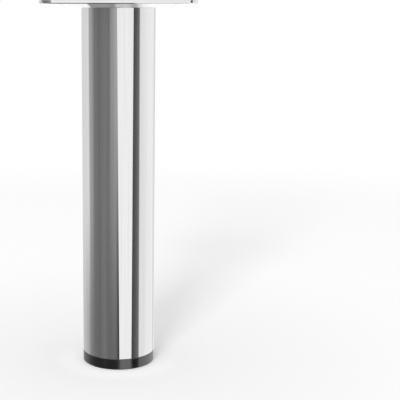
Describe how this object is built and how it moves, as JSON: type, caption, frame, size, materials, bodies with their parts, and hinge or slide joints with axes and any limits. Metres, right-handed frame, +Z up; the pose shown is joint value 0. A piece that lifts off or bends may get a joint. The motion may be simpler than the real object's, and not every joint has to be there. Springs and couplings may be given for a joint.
{
  "type": "furniture leg",
  "caption": "Round chromed tube leg with a square pressed mounting plate on top and a black levelling foot that screws out of its lower end.",
  "frame": {"origin": "centre of the foot's flat underside, on the floor", "axes": "+Z up along the tube towards the mounting plate, +X and +Y along the plate's sides"},
  "size_m": [0.12, 0.12, 0.3],
  "materials": {
    "chrome": "polished chrome plating",
    "insert_plastic": "moulded, matt",
    "zinc_steel": "zinc plated",
    "foot_plastic": "moulded, semi-gloss black"
  },
  "bodies": {
    "leg": {"mounting_plate": "chrome", "leg_tube": "chrome", "tube_insert": "insert_plastic", "insert_nut": "zinc_steel"},
    "spindle": {"levelling_spindle": "zinc_steel"},
    "foot": {"levelling_foot": "foot_plastic"}
  },
  "joints": [
    {"name": "foot_travel", "type": "slide", "parent": "leg", "child": "spindle", "axis": [0, 0, -1], "range_m": [0, 0.02]},
    {"name": "foot_turn", "type": "hinge", "parent": "spindle", "child": "foot", "pos_m": [0, 0, 0.0045], "axis": [0, 0, -1], "range_deg": [0, 4800]}
  ],
  "couplings": [
    {"joint": "foot_travel", "follows": "foot_turn", "m_per_rad": 0.00023873}
  ]
}
